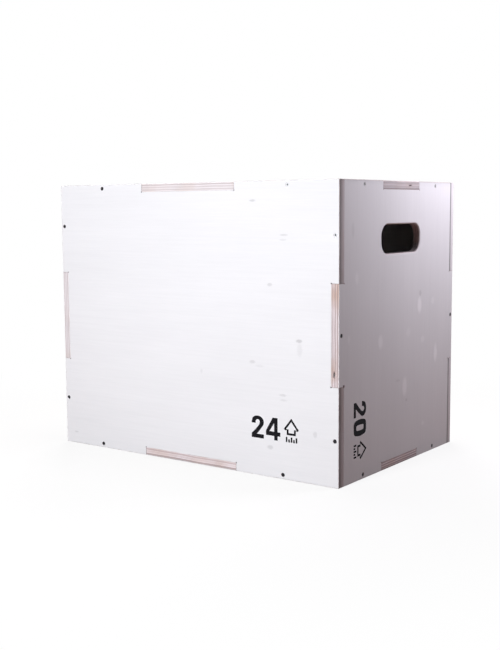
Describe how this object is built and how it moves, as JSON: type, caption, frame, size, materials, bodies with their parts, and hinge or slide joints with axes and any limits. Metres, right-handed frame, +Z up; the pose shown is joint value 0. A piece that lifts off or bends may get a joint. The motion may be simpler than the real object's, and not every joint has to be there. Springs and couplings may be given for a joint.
{
  "type": "plyo box",
  "caption": "Plywood jump box of interlocking notched panels held by countersunk screws, with a rounded hand hole in each end; turned on its faces it gives different jump heights.",
  "frame": {"origin": "middle of the underside, on the floor", "axes": "+X along the longest side towards the right end, +Y from the front to the back, +Z up"},
  "size_m": [0.762, 0.508, 0.6096],
  "materials": {
    "plywood": "pale sanded plywood, bare edges",
    "screw_steel": "black phosphate"
  },
  "bodies": {
    "root": {"front_panel": "plywood", "back_panel": "plywood", "left_panel": "plywood", "right_panel": "plywood", "top_panel": "plywood", "bottom_panel": "plywood", "centre_brace": "plywood", "front_top_screws": "screw_steel", "front_bottom_screws": "screw_steel", "front_left_screws": "screw_steel", "front_right_screws": "screw_steel", "back_top_screws": "screw_steel", "back_bottom_screws": "screw_steel", "back_left_screws": "screw_steel", "back_right_screws": "screw_steel", "left_top_screws": "screw_steel", "left_bottom_screws": "screw_steel", "right_top_screws": "screw_steel", "right_bottom_screws": "screw_steel", "brace_top_screws": "screw_steel", "brace_bottom_screws": "screw_steel"}
  },
  "joints": []
}
